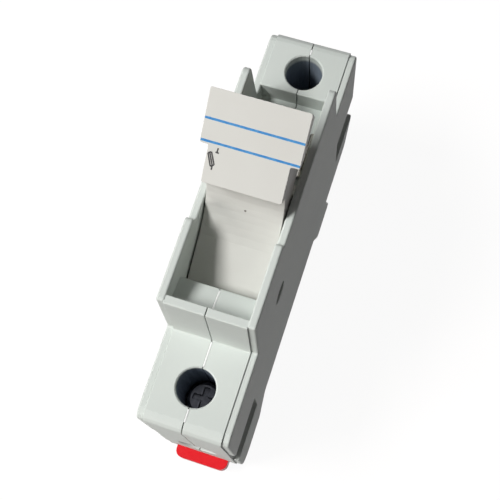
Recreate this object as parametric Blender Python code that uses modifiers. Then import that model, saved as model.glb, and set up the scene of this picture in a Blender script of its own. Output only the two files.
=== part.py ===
"""Single-pole fuse holder for a 35 mm rail, with a tilting carrier that holds a cartridge fuse.

Metres, +Z up. The origin is the centre of the rail seat on the back. +Z points to the front, +Y to the
upper terminal and +X to the right-hand side wall. The carrier stands tilted out, as when a fuse is changed.
"""

from math import atan2, cos, pi, radians, sin, sqrt, tan

import bmesh
import bpy
from mathutils import Matrix, Vector

MM = 0.001

# Clearances
GAP = 0.3 * MM
SEAM = 0.2 * MM

# Housing: Y from the rail's centre line, Z from the rail seat
MODULE_WIDTH = 18.0 * MM
WALL = 1.5 * MM
PANEL_STEP = 0.25 * MM
PANEL_OVERLAP = 0.1 * MM
EDGE_ROUND = 0.3 * MM
LOWER_END_Y = -34.8 * MM
UPPER_END_Y = 47.4 * MM
PLATFORM_Z = 38.8 * MM
END_EDGE_RADIUS = 2.2 * MM
SLOPE_FOOT_Y = -17.2 * MM
SLOPE_TOP_Y = -16.3 * MM
LIP_THICKNESS = 1.6 * MM
GUARD_Z = 55.5 * MM
WING_SEAT_DROP = 2.5 * MM
WING_SEAT_Y = -0.4 * MM
EAR_END_Y = 31.6 * MM
EAR_SLOPE = 1.2 * MM
EAR_RADIUS = 1.6 * MM
UPPER_PLATFORM_Y = 35.1 * MM
LEDGE_DEPTH = 4.8 * MM

# Back of the housing, made for the rail
RAIL_WIDTH = 35.0 * MM
RAIL_PLAY = 0.6 * MM
RAIL_EDGE_THICKNESS = 1.0 * MM
FOOT_DEPTH = 7.2 * MM
LOWER_FOOT_SLOPE = 5.0 * MM
LOWER_FOOT_RADIUS = 4.5 * MM
UPPER_FOOT_SLOPE = 3.4 * MM
UPPER_FOOT_LENGTH = 9.8 * MM
UPPER_FOOT_BARB = 2.8 * MM
TAIL_CHAMFER_Y = 4.4 * MM
TAIL_CHAMFER_Z = 7.5 * MM
TAIL_RISE = 0.5 * MM
HOOK_REACH = 1.4 * MM

# Terminals
LOWER_SCREW_Y = -26.4 * MM
UPPER_SCREW_Y = 40.0 * MM
SCREW_HOLE_RADIUS = 3.75 * MM
SCREW_HOLE_CHAMFER = 0.25 * MM
SCREW_HEAD_RADIUS = 3.4 * MM
SCREW_HEAD_DEPTH = 14.5 * MM
SCREW_HEAD_THICKNESS = 2.2 * MM
SCREW_RADIUS = 2.5 * MM
SCREW_RECESS_LENGTH = 4.6 * MM
SCREW_RECESS_WIDTH = 1.1 * MM
SCREW_RECESS_DEPTH = 1.5 * MM
CAGE_TRAVEL = 5.0 * MM
CAGE_WIDTH = 11.6 * MM
CAGE_LENGTH = 8.0 * MM
CAGE_SIDE = 1.3 * MM
CAGE_NUT_THICKNESS = 2.4 * MM
CAGE_FLOOR = 1.5 * MM
WIRE_ROOM = 7.0 * MM
WIRE_HOLE_RADIUS = 3.2 * MM
WIRE_FUNNEL_RADIUS = 4.6 * MM
SIDE_RECESS_DEPTH = 1.3 * MM
SIDE_RECESS_Z = 13.8 * MM
SIDE_RECESS_HEIGHT = 10.0 * MM
SIDE_RECESS_LENGTH = 12.3 * MM

# Cartridge fuse
FUSE_LENGTH = 31.5 * MM
FUSE_RADIUS = 5.0 * MM
CAP_LENGTH = 8.0 * MM
CAP_SHEET = 0.5 * MM
TUBE_WALL = 1.1 * MM
ELEMENT_WIDTH = 3.0 * MM
ELEMENT_THICKNESS = 0.4 * MM

# Carrier: its pivot in the housing, and its shape when closed, measured from that pivot
PIVOT_Y = -4.1 * MM
PIVOT_Z = 36.05 * MM
PIVOT_HOLE_RADIUS = 2.35 * MM
TRUNNION_CLEARANCE = 0.2 * MM
CARRIER_OPEN = radians(30.0)
CARRIER_OVERTRAVEL = radians(3.0)
LABEL_TILT = radians(8.5)
LABEL_LENGTH = 16.5 * MM
LABEL_OVERHANG = 0.8 * MM
LABEL_CORNER = 0.35 * MM
WING_LENGTH = 9.7 * MM
WING_INSET = 0.25 * MM
WING_EDGE = 1.55 * MM
SCOOP_RADIUS = 14.0 * MM
SCOOP_START = 9.0 * MM
SCOOP_END_ANGLE = radians(-33.0)
GRIP_THICKNESS = 3.0 * MM
GRIP_UNDERCUT = 1.3 * MM
GRIP_DEPTH = 7.5 * MM
FUSE_RISE = 1.95 * MM
CRADLE_WALL = 1.3 * MM
CRADLE_CLEARANCE = 0.3 * MM
CRADLE_END = 20.0 * MM
PLATE_CLEARANCE = 1.05 * MM
NOSE_RISE = 0.8 * MM
NOSE_ANGLE = radians(87.5)
NOSE_LAP = radians(4.0)
POCKET_STEP = 4.8 * MM
POCKET_EDGE_ANGLE = radians(113.0)
POCKET_FOOT_ANGLE = radians(120.0)

# Contacts and their springs
CONTACT_SHEET = 1.0 * MM
CONTACT_WIDTH = 8.0 * MM
CONTACT_BEND = 1.5 * MM
CONTACT_LEG_SETBACK = 2.3 * MM
JAW_SHEET = 0.8 * MM
JAW_HEIGHT = 8.0 * MM
JAW_FLARE = 0.5 * MM
SPRING_SHEET = 0.5 * MM

# Rail clip and its spring
CLIP_WIDTH = 11.8 * MM
CLIP_THICKNESS = 3.6 * MM
CLIP_TAB_REACH = 2.7 * MM
CLIP_TAB_RADIUS = 1.6 * MM
CLIP_TRAVEL = 4.5 * MM
CLIP_NOSE_LENGTH = 3.0 * MM
CLIP_LIP = 1.5 * MM
CLIP_WINDOW_WIDTH = 4.4 * MM
POST_SETBACK = 3.7 * MM
POST_LENGTH = 1.5 * MM
POST_WIDTH = 2.4 * MM
CLIP_SPRING_LENGTH = 7.7 * MM
CLIP_SPRING_RADIUS = 1.35 * MM
CLIP_SPRING_WIRE = 0.25 * MM
CLIP_SPRING_TURNS = 6

# Screws that hold the two halves together
JOINT_SCREW_RADIUS = 1.45 * MM
JOINT_HEAD_RADIUS = 2.7 * MM
JOINT_HEAD_THICKNESS = 1.6 * MM
JOINT_HEAD_SUNK = 0.6 * MM
JOINT_SCREW_TIP_X = 6.0 * MM
JOINT_SCREW_INSET = 5.3 * MM
CORE_POCKET_WALL = 2.0 * MM
TONGUE_WIDTH = 3.0 * MM
TONGUE_LENGTH = 12.0 * MM
TONGUE_THICKNESS = 3.0 * MM

# Places worked out from the sizes above
HALF_WIDTH = MODULE_WIDTH / 2
INNER_HALF = HALF_WIDTH - WALL
CARRIER_WIDTH = 2 * (INNER_HALF - GAP)
WING_WIDTH = MODULE_WIDTH - 2 * WING_INSET
WING_SEAT_Z = GUARD_Z - WING_SEAT_DROP
RECESS_HALF = (RAIL_WIDTH + RAIL_PLAY) / 2
LABEL_TOP_Y = EAR_END_Y + LABEL_OVERHANG - PIVOT_Y
WING_UNDER = WING_SEAT_Z + GAP - PIVOT_Z
LABEL_RISE = (WING_UNDER + WING_EDGE + WING_LENGTH * sin(LABEL_TILT)) * cos(LABEL_TILT)
LABEL_RISE = LABEL_RISE - LABEL_TOP_Y * sin(LABEL_TILT)
LABEL_REACH = (LABEL_TOP_Y + LABEL_RISE * sin(LABEL_TILT)) / cos(LABEL_TILT)
CRADLE_RADIUS = FUSE_RADIUS + CRADLE_CLEARANCE
BOSS_RADIUS = CRADLE_RADIUS + CRADLE_WALL - FUSE_RISE
SCOOP_FLOOR = FUSE_RISE + CRADLE_RADIUS + CRADLE_WALL
NOSE_RADIUS = SCOOP_FLOOR + NOSE_RISE
FUSE_END = GAP
STRIP_TOP_Z = PIVOT_Z + FUSE_RISE - FUSE_RADIUS - GAP
STRIP_Z = STRIP_TOP_Z - CONTACT_SHEET / 2
CAVITY_FLOOR_Z = STRIP_TOP_Z - CONTACT_SHEET - SPRING_SHEET - 2 * GAP
FUSE_REACH = sqrt((FUSE_END + FUSE_LENGTH) ** 2 + (FUSE_RADIUS - FUSE_RISE) ** 2)
CAVITY_END_Y = PIVOT_Y + FUSE_REACH + 4 * GAP
NOSE_END = POCKET_FOOT_ANGLE + NOSE_LAP
HEAD_TOP_Z = PLATFORM_Z - SCREW_HEAD_DEPTH
HEAD_UNDER_Z = HEAD_TOP_Z - SCREW_HEAD_THICKNESS
CAGE_TOP_Z = HEAD_UNDER_Z - GAP - CAGE_TRAVEL
TONGUE_Z = CAGE_TOP_Z - CAGE_NUT_THICKNESS - GAP - CONTACT_SHEET / 2
WIRE_Z = TONGUE_Z - CONTACT_SHEET / 2 - WIRE_ROOM / 2
CAGE_BOTTOM_Z = TONGUE_Z - CONTACT_SHEET / 2 - WIRE_ROOM - CAGE_FLOOR
UPPER_LEG_Y = CAVITY_END_Y + CONTACT_LEG_SETBACK
LOWER_LEG_Y = PIVOT_Y - BOSS_RADIUS - 2 * GAP - CONTACT_LEG_SETBACK - CONTACT_BEND
CLIP_TOP_Z = -RAIL_EDGE_THICKNESS - GAP
CLIP_UNDER_Z = CLIP_TOP_Z - CLIP_THICKNESS
POST_Y = LOWER_END_Y + POST_SETBACK
WINDOW_LOW_Y = POST_Y - GAP
WINDOW_HIGH_Y = POST_Y + POST_LENGTH + CLIP_SPRING_LENGTH + 2 * GAP

PLANES = {
    "X": Matrix(((0, 0, 1), (1, 0, 0), (0, 1, 0))),
    "Y": Matrix(((1, 0, 0), (0, 0, 1), (0, 1, 0))),
    "Z": Matrix.Identity(3),
}


# Scene, collections and materials
for old in list(bpy.data.objects):
    bpy.data.objects.remove(old)
PARTS = bpy.data.collections.new("fuse_holder")
CUTTERS = bpy.data.collections.new("fuse_holder_cutters")
for collection in (PARTS, CUTTERS):
    bpy.context.scene.collection.children.link(collection)


def material(name, colour, roughness, metallic=0.0):
    """Makes a plain Principled material."""
    made = bpy.data.materials.new(name)
    made.use_nodes = True
    shader = made.node_tree.nodes["Principled BSDF"]
    shader.inputs["Base Color"].default_value = (*colour, 1.0)
    shader.inputs["Roughness"].default_value = roughness
    shader.inputs["Metallic"].default_value = metallic
    return made


HOUSING_GREY = material("housing_grey", (0.66, 0.70, 0.67), 0.45)
CARRIER_GREY = material("carrier_grey", (0.72, 0.71, 0.69), 0.42)
CLIP_RED = material("clip_red", (0.78, 0.01, 0.02), 0.40)
COPPER = material("tinned_copper", (0.72, 0.66, 0.58), 0.32, 1.0)
STEEL = material("zinc_steel", (0.60, 0.60, 0.58), 0.35, 1.0)
SPRING_STEEL = material("spring_steel", (0.36, 0.37, 0.39), 0.30, 1.0)
CERAMIC = material("ceramic", (0.88, 0.86, 0.82), 0.35)
NICKEL = material("nickelled_brass", (0.70, 0.68, 0.63), 0.25, 1.0)
SILVER = material("silver_strip", (0.80, 0.80, 0.80), 0.25, 1.0)
SAND = material("quartz_sand", (0.74, 0.69, 0.58), 0.9)


# Outlines in a plane
def rounded(corners, steps=4):
    """Turns (u, v, radius) corners into points, with an arc wherever a corner has a radius."""
    points = []
    for index, (u, v, radius) in enumerate(corners):
        here = Vector((u, v))
        before = Vector(corners[index - 1][:2]) - here
        after = Vector(corners[(index + 1) % len(corners)][:2]) - here
        half = before.angle(after) / 2
        if radius <= 0 or half > 0.49 * pi:
            points.append((u, v))
            continue
        reach = min(radius / tan(half), 0.48 * before.length, 0.48 * after.length)
        middle = (before.normalized() + after.normalized()).normalized()
        centre = here + middle * (reach / cos(half))
        start = here + before.normalized() * reach - centre
        end = here + after.normalized() * reach - centre
        turn = atan2(start.x * end.y - start.y * end.x, start.dot(end))
        for step in range(steps + 1):
            arm = Matrix.Rotation(turn * step / steps, 2) @ start
            points.append(tuple(centre + arm))
    return points


def arc(centre, radius, first, last, steps=10):
    """Points on a circle, from one angle to another."""
    angles = [first + (last - first) * step / steps for step in range(steps + 1)]
    return [(centre[0] + radius * cos(a), centre[1] + radius * sin(a)) for a in angles]


def ribbon(route, thickness, bend=0.0, steps=4):
    """Outline of a bent strip of the given thickness along a route of (u, v) points."""
    corners = [(u, v, bend) for u, v in route]
    corners[0] = (*route[0], 0.0)
    corners[-1] = (*route[-1], 0.0)
    line = [Vector(point) for point in rounded(corners, steps)]
    left, right = [], []
    for index, point in enumerate(line):
        into = (point - line[index - 1]).normalized() if index else None
        out = (line[index + 1] - point).normalized() if index + 1 < len(line) else None
        along = ((into or out) + (out or into)).normalized()
        side = Vector((-along.y, along.x))
        reach = thickness / 2 / max(0.5, along.dot(out or into))
        left.append(tuple(point + side * reach))
        right.append(tuple(point - side * reach))
    return left + right[::-1]


def rectangle(low, high, radius=0.0):
    """Corner list of a rectangle between two (u, v) corners."""
    return rounded([(low[0], low[1], radius), (high[0], low[1], radius),
                    (high[0], high[1], radius), (low[0], high[1], radius)])


# Solids
def add(name, mesh, finish=None, parent=None):
    """Adds a part, or a cutter where no finish is given."""
    made = bpy.data.objects.new(name, mesh)
    made.parent = parent
    if finish:
        made.data.materials.append(finish)
        PARTS.objects.link(made)
    else:
        made.hide_render = True
        made.display_type = "WIRE"
        CUTTERS.objects.link(made)
    return made


def drawn_in(points, inset):
    """The same outline drawn in by an inset, corner by corner."""
    line = [Vector(point) for point in points]
    area = sum(a.x * b.y - a.y * b.x for a, b in zip(line, line[1:] + line[:1]))
    inward = 1 if area > 0 else -1
    moved = []
    for index, point in enumerate(line):
        into = (point - line[index - 1]).normalized()
        out = (line[(index + 1) % len(line)] - point).normalized()
        along = (into + out).normalized()
        side = Vector((-along.y, along.x)) * inward
        moved.append(tuple(point + side * (inset / max(0.3, along.dot(out)))))
    return moved


def prism(name, points, axis, low, high, finish=None, parent=None, edge=0.0, turn=None):
    """Extrudes a closed outline along an axis, with rounded rims where an edge is given."""
    rings = [(points, low), (points, high)]
    if edge:
        small = edge * (1 - sqrt(0.5))
        rings = [(drawn_in(points, edge), low), (drawn_in(points, small), low + small),
                 (points, low + edge), (points, high - edge),
                 (drawn_in(points, small), high - small), (drawn_in(points, edge), high)]
    shape = bmesh.new()
    levels = [[shape.verts.new((u, v, level)) for u, v in ring] for ring, level in rings]
    shape.faces.new(levels[0][::-1])
    shape.faces.new(levels[-1])
    for lower, upper in zip(levels, levels[1:]):
        for index in range(len(points)):
            shape.faces.new((lower[index - 1], lower[index], upper[index], upper[index - 1]))
    solid = bpy.data.meshes.new(name)
    shape.to_mesh(solid)
    shape.free()
    solid.transform((turn or Matrix.Identity(4)) @ PLANES[axis].to_4x4())
    face_out(solid)
    return add(name, solid, finish, parent)


def face_out(solid):
    """Points a solid's faces out and smooths its round sides."""
    shape = bmesh.new()
    shape.from_mesh(solid)
    bmesh.ops.recalc_face_normals(shape, faces=shape.faces)
    shape.to_mesh(solid)
    shape.free()
    solid.shade_smooth()
    solid.set_sharp_from_angle(angle=radians(30))


def box(name, low, high, finish=None, parent=None):
    """Makes a box between two corners."""
    solid = bpy.data.meshes.new(name)
    shape = bmesh.new()
    size = Vector(high) - Vector(low)
    place = Matrix.Translation((Vector(low) + Vector(high)) / 2) @ Matrix.Diagonal((*size, 1.0))
    bmesh.ops.create_cube(shape, size=1.0, matrix=place)
    shape.to_mesh(solid)
    shape.free()
    return add(name, solid, finish, parent)


def rod(name, start, end, radius, finish=None, parent=None, sides=32):
    """Makes a round bar between two points."""
    solid = bpy.data.meshes.new(name)
    shape = bmesh.new()
    run = Vector(end) - Vector(start)
    place = Matrix.Translation((Vector(start) + Vector(end)) / 2)
    place = place @ run.to_track_quat("Z", "Y").to_matrix().to_4x4()
    bmesh.ops.create_cone(shape, cap_ends=True, segments=sides, radius1=radius, radius2=radius,
                          depth=run.length, matrix=place)
    shape.to_mesh(solid)
    shape.free()
    solid.shade_smooth()
    solid.set_sharp_from_angle(angle=radians(30))
    return add(name, solid, finish, parent)


def turned(name, profile, finish=None, parent=None, closed=False, sides=32):
    """Turns a profile of (radius, height) points about the object's Z axis."""
    solid = bpy.data.meshes.new(name)
    edges = [(index, index + 1) for index in range(len(profile) - 1)]
    if closed:
        edges.append((len(profile) - 1, 0))
    solid.from_pydata([(radius, 0.0, height) for radius, height in profile], edges, [])
    made = add(name, solid, finish, parent)
    screw = made.modifiers.new("turn", "SCREW")
    screw.axis = "Z"
    screw.steps = sides
    screw.render_steps = sides
    screw.use_merge_vertices = True
    screw.merge_threshold = 0.00001
    screw.use_normal_calculate = False
    return made


def boolean(target, tool, operation):
    """Adds one Boolean step to a part or a cutter."""
    step = target.modifiers.new(tool.name, "BOOLEAN")
    step.operation = operation
    step.solver = "EXACT"
    step.object = tool


def cut(target, *tools):
    for tool in tools:
        boolean(target, tool, "DIFFERENCE")


def fuse(target, *tools):
    for tool in tools:
        boolean(target, tool, "UNION")


def axis_empty(name, place, tilt=0.0):
    """Adds the empty that carries a moving piece, on that piece's joint axis."""
    made = bpy.data.objects.new(name, None)
    made.location = place
    made.rotation_euler = (tilt, 0.0, 0.0)
    PARTS.objects.link(made)
    return made


def cross_recess(name, top, length, width, depth, parent=None, turn=None):
    """Cutters for a cross slot in a screw head that faces +Z, turned where the screw lies otherwise."""
    arms = []
    for index, (along, across) in enumerate(((length, width), (width, length))):
        low = (-along / 2, -across / 2, top - depth)
        high = (along / 2, across / 2, top + depth)
        arm = box(f"{name}_slot_{index}", low, high, parent=parent)
        if turn:
            arm.data.transform(turn)
        arms.append(arm)
    return arms


# Housing outlines
def back_outline(inset, hooked):
    """Corners round the back, from the upper end to the lower end, drawn in by an inset."""
    foot = -FOOT_DEPTH + inset
    upper_in = RECESS_HALF + UPPER_FOOT_SLOPE
    hook = []
    if hooked:
        hook_top = -RAIL_EDGE_THICKNESS - GAP
        hook = [(RECESS_HALF - HOOK_REACH, hook_top - HOOK_REACH, 0.0),
                (RECESS_HALF - HOOK_REACH, hook_top - GAP, 0.0),
                (RECESS_HALF, hook_top, 0.0)]
    return [
        (UPPER_END_Y + PANEL_STEP - inset, TAIL_CHAMFER_Z, END_EDGE_RADIUS),
        (UPPER_END_Y + PANEL_STEP - inset - TAIL_CHAMFER_Y, TAIL_RISE + inset, END_EDGE_RADIUS),
        (upper_in + UPPER_FOOT_LENGTH - UPPER_FOOT_BARB - inset, TAIL_RISE + inset, WALL / 2),
        (upper_in + UPPER_FOOT_LENGTH - inset, foot, WALL / 2),
        (upper_in + inset, foot, WALL / 2),
        *hook,
        (RECESS_HALF + inset, inset, 0.0),
        (-RECESS_HALF - inset, inset, 0.0),
        (-RECESS_HALF - LOWER_FOOT_SLOPE - inset, foot, WALL / 2),
        (LOWER_END_Y - PANEL_STEP + inset, foot, LOWER_FOOT_RADIUS),
    ]


def wall_outline():
    """Outline of a side wall, with its guard, the lowered seat of the carrier's wings and the ear."""
    strip = PLATFORM_Z - PANEL_STEP
    return rounded([
        (LOWER_END_Y, strip, END_EDGE_RADIUS),
        (SLOPE_FOOT_Y + PANEL_STEP, strip, WALL / 3),
        (SLOPE_TOP_Y + PANEL_STEP, GUARD_Z, WALL / 3),
        (WING_SEAT_Y, GUARD_Z, WALL / 2),
        (WING_SEAT_Y + EDGE_ROUND, WING_SEAT_Z, WALL / 2),
        (EAR_END_Y, WING_SEAT_Z, EAR_RADIUS),
        (EAR_END_Y + EAR_SLOPE, strip, WALL / 2),
        (UPPER_END_Y, strip, END_EDGE_RADIUS),
        *back_outline(PANEL_STEP, False),
    ])


def pivot_polar(radius, angle):
    """A point at a distance and an angle from the carrier's pivot."""
    return (PIVOT_Y + radius * cos(angle), PIVOT_Z + radius * sin(angle))


def core_outline():
    """Outline of the middle of the housing, with the well that the carrier swings in."""
    widest = CARRIER_OPEN + CARRIER_OVERTRAVEL
    chamber = arc((PIVOT_Y, PIVOT_Z), NOSE_RADIUS + 2 * GAP, POCKET_FOOT_ANGLE,
                  NOSE_END + widest + radians(2.5), 6)
    lip_z = GUARD_Z - GAP / 2
    corners = [
        (LOWER_END_Y - PANEL_STEP, PLATFORM_Z, END_EDGE_RADIUS),
        (SLOPE_FOOT_Y, PLATFORM_Z, EDGE_ROUND),
        (SLOPE_TOP_Y, lip_z, EDGE_ROUND),
        (SLOPE_TOP_Y + LIP_THICKNESS, lip_z, EDGE_ROUND),
        (*pivot_polar(NOSE_RADIUS + POCKET_STEP, POCKET_EDGE_ANGLE), EDGE_ROUND),
        *[(y, z, 0.0) for y, z in chamber],
        (PIVOT_Y - BOSS_RADIUS - 2 * GAP, PIVOT_Z - 0.75 * BOSS_RADIUS, 0.0),
        (PIVOT_Y - BOSS_RADIUS - 2 * GAP, CAVITY_FLOOR_Z, 0.0),
        (CAVITY_END_Y, CAVITY_FLOOR_Z, 0.0),
        (CAVITY_END_Y, PLATFORM_Z - LEDGE_DEPTH, 0.0),
        (UPPER_PLATFORM_Y, PLATFORM_Z - LEDGE_DEPTH, 0.0),
        (UPPER_PLATFORM_Y, PLATFORM_Z, EDGE_ROUND),
        (UPPER_END_Y + PANEL_STEP, PLATFORM_Z, END_EDGE_RADIUS),
        *back_outline(0.0, True),
    ]
    return rounded(corners)


# Contact strips, as routes in the Y-Z plane
def upper_strip_route():
    start = PIVOT_Y + FUSE_END + FUSE_LENGTH - CAP_LENGTH + CAP_LENGTH / 2
    end = UPPER_SCREW_Y + CAGE_LENGTH / 2
    return [(start, STRIP_Z), (UPPER_LEG_Y, STRIP_Z), (UPPER_LEG_Y, TONGUE_Z), (end, TONGUE_Z)]


def lower_strip_route():
    start = PIVOT_Y + FUSE_END + CAP_LENGTH - 2 * GAP
    end = LOWER_SCREW_Y - CAGE_LENGTH / 2
    return [(start, STRIP_Z), (LOWER_LEG_Y, STRIP_Z), (LOWER_LEG_Y, TONGUE_Z), (end, TONGUE_Z)]


def joint_screw_places():
    """Places of the three screws, each in a solid stretch of the halves."""
    return {
        "lower": (SLOPE_FOOT_Y - JOINT_HEAD_RADIUS, PLATFORM_Z - JOINT_SCREW_INSET),
        "upper": (UPPER_LEG_Y, TAIL_CHAMFER_Z + JOINT_HEAD_RADIUS),
        "rear": (LOWER_LEG_Y, TAIL_CHAMFER_Z + JOINT_HEAD_RADIUS),
    }


# Cutters that both halves share
def terminal_cutters(name, screw_y, end_y):
    """Cage room, screw hole, wire funnel and side recesses of one terminal."""
    outward = 1 if end_y > screw_y else -1
    half_length = CAGE_LENGTH / 2 + GAP
    half_width = CAGE_WIDTH / 2 + GAP
    room_low = (-half_width, screw_y - half_length, CAGE_BOTTOM_Z - GAP)
    room_high = (half_width, screw_y + half_length, CAGE_TOP_Z + CAGE_TRAVEL + GAP / 2)
    room = box(f"{name}_cage_room", room_low, room_high)
    rim = SCREW_HOLE_RADIUS + SCREW_HOLE_CHAMFER
    hole_end = HEAD_UNDER_Z - SCREW_HEAD_THICKNESS
    profile = [(0, PLATFORM_Z + WALL), (rim, PLATFORM_Z + WALL), (rim, PLATFORM_Z),
               (SCREW_HOLE_RADIUS, PLATFORM_Z - SCREW_HOLE_CHAMFER),
               (SCREW_HOLE_RADIUS, hole_end), (0, hole_end)]
    hole = turned(f"{name}_screw_hole", profile)
    hole.location = (0.0, screw_y, 0.0)
    mouth = abs(end_y - screw_y) + PANEL_STEP + GAP
    profile = [(0, mouth), (WIRE_FUNNEL_RADIUS, mouth), (WIRE_HOLE_RADIUS, mouth - WALL),
               (WIRE_HOLE_RADIUS, 0), (0, 0)]
    funnel = turned(f"{name}_wire_funnel", profile)
    funnel.location = (0.0, screw_y, WIRE_Z)
    funnel.rotation_euler = (-outward * pi / 2, 0.0, 0.0)
    recesses = []
    for side in (-1, 1):
        near = side * (HALF_WIDTH - SIDE_RECESS_DEPTH)
        far = side * (HALF_WIDTH + WALL)
        inner_y = end_y - outward * SIDE_RECESS_LENGTH
        outer_y = end_y + outward * WALL
        low = (min(near, far), min(inner_y, outer_y), SIDE_RECESS_Z - SIDE_RECESS_HEIGHT / 2)
        high = (max(near, far), max(inner_y, outer_y), SIDE_RECESS_Z + SIDE_RECESS_HEIGHT / 2)
        recesses.append(box(f"{name}_side_recess_{side}", low, high))
    return [room, hole, funnel, *recesses]


def strip_channel(name, route):
    """Slot in both halves for a contact strip."""
    half = CONTACT_WIDTH / 2 + GAP
    outline = ribbon(route, CONTACT_SHEET + 2 * GAP, CONTACT_BEND)
    return prism(name, outline, "X", -half, half)


def clip_channel():
    """T-shaped slot in the lower foot for the rail clip."""
    low_y = LOWER_END_Y - WALL
    high_y = -RECESS_HALF + WALL
    half = CLIP_WIDTH / 2 + GAP
    slot_half = half - CLIP_LIP
    wide = box("clip_channel_wide", (-half, low_y, CLIP_UNDER_Z - GAP), (half, high_y, CLIP_TOP_Z + GAP))
    slot_low = (-slot_half, low_y, -FOOT_DEPTH - WALL)
    slot = box("clip_channel_slot", slot_low, (slot_half, high_y, CLIP_TOP_Z))
    fuse(wide, slot)
    return wide


def core_pocket():
    """Hollow between the ribs in the middle of each half, closed by the side walls."""
    half = INNER_HALF - GAP
    low_y = LOWER_LEG_Y + JOINT_HEAD_RADIUS + CORE_POCKET_WALL
    high_y = UPPER_LEG_Y - JOINT_HEAD_RADIUS - CORE_POCKET_WALL
    return box("core_pocket", (-half, low_y, CORE_POCKET_WALL),
               (half, high_y, CAVITY_FLOOR_Z - CORE_POCKET_WALL))


def jaw_frame():
    """Half width and Y span of the upper jaw, and the half width of the spring round it."""
    side = FUSE_RADIUS + GAP + JAW_SHEET / 2
    low_y = PIVOT_Y + FUSE_END + FUSE_LENGTH - CAP_LENGTH + 3 * GAP
    spring_side = side + JAW_SHEET / 2 + GAP + SPRING_SHEET / 2
    return side, low_y, low_y + CAP_LENGTH - 6 * GAP, spring_side


def jaw_spring_room():
    """Room between the walls for the upper jaw's spring."""
    _, low_y, high_y, spring_side = jaw_frame()
    half = spring_side + SPRING_SHEET / 2 + GAP
    room_low = (-half, low_y, CAVITY_FLOOR_Z + GAP / 2)
    return box("jaw_spring_room", room_low, (half, high_y, STRIP_Z + JAW_HEIGHT))


def pivot_hole():
    reach = HALF_WIDTH + WALL
    return rod("pivot_hole", (-reach, PIVOT_Y, PIVOT_Z), (reach, PIVOT_Y, PIVOT_Z), PIVOT_HOLE_RADIUS)


def joint_screw_holes():
    """Holes from the left for the three screws, with room for their heads."""
    holes = []
    for name, (y, z) in joint_screw_places().items():
        head_x = -HALF_WIDTH + JOINT_HEAD_SUNK + JOINT_HEAD_THICKNESS + GAP
        holes.append(rod(f"{name}_screw_way", (head_x - GAP, y, z), (JOINT_SCREW_TIP_X + GAP, y, z),
                         JOINT_SCREW_RADIUS + GAP))
        holes.append(rod(f"{name}_head_way", (-HALF_WIDTH - WALL, y, z), (head_x, y, z),
                         JOINT_HEAD_RADIUS + GAP))
    return holes


def housing_cutters():
    return [
        *terminal_cutters("lower", LOWER_SCREW_Y, LOWER_END_Y),
        *terminal_cutters("upper", UPPER_SCREW_Y, UPPER_END_Y),
        strip_channel("upper_strip_channel", upper_strip_route()),
        strip_channel("lower_strip_channel", lower_strip_route()),
        clip_channel(),
        core_pocket(),
        jaw_spring_room(),
        pivot_hole(),
        *joint_screw_holes(),
    ]


def housing_half(name, side, seam_x, cutters):
    """One moulded half: its middle, its side wall, the cuts, and its half of the clip spring's post."""
    span = sorted((seam_x, side * (INNER_HALF + PANEL_OVERLAP)))
    half = prism(name, core_outline(), "X", *span, finish=HOUSING_GREY)
    span = sorted((side * INNER_HALF, side * HALF_WIDTH))
    fuse(half, prism(f"{name}_wall", wall_outline(), "X", *span, edge=EDGE_ROUND))
    cut(half, *cutters)
    near, far = sorted((side * SEAM, side * POST_WIDTH / 2))
    low = (near, POST_Y, CLIP_UNDER_Z)
    fuse(half, box(f"{name}_post", low, (far, POST_Y + POST_LENGTH, CLIP_TOP_Z + WALL)))
    return half


def build_housing():
    """Both halves. A tongue on the left half crosses the seam at the middle of the rail seat."""
    cutters = housing_cutters()
    reach = TONGUE_WIDTH / 2
    half = TONGUE_LENGTH / 2
    seam = box("left_seam", (-SEAM / 2, 2 * LOWER_END_Y, -PLATFORM_Z),
               (HALF_WIDTH, 2 * UPPER_END_Y, 2 * PLATFORM_Z))
    cut(seam, box("tongue_left_standing", (-reach, -half, -WALL),
                  (2 * HALF_WIDTH, half, TONGUE_THICKNESS)))
    housing_half("housing_left", -1, reach, [seam, *cutters])
    right = housing_half("housing_right", 1, SEAM / 2, cutters)
    cut(right, box("tongue_room", (-reach, -half - SEAM, -WALL),
                   (reach + SEAM, half + SEAM, TONGUE_THICKNESS + SEAM)))


def build_joint_screws():
    """Screws along X, heads sunk in the left wall."""
    for name, (y, z) in joint_screw_places().items():
        holder = axis_empty(f"{name}_joint_screw_axis", (-HALF_WIDTH + JOINT_HEAD_SUNK, y, z))
        length = HALF_WIDTH - JOINT_HEAD_SUNK + JOINT_SCREW_TIP_X
        profile = [(0, 0), (JOINT_HEAD_RADIUS - GAP, 0), (JOINT_HEAD_RADIUS, -GAP),
                   (JOINT_HEAD_RADIUS, -JOINT_HEAD_THICKNESS), (JOINT_SCREW_RADIUS, -JOINT_HEAD_THICKNESS),
                   (JOINT_SCREW_RADIUS, -length + JOINT_SCREW_RADIUS), (0, -length)]
        screw = turned(f"housing_screw_{name}", profile, STEEL, holder, sides=24)
        cut(screw, *cross_recess(screw.name, 0.0, 1.2 * JOINT_HEAD_RADIUS, 0.3 * JOINT_HEAD_RADIUS,
                                 0.5 * JOINT_HEAD_THICKNESS, holder))
        holder.rotation_euler = (0.0, -pi / 2, 0.0)


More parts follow.
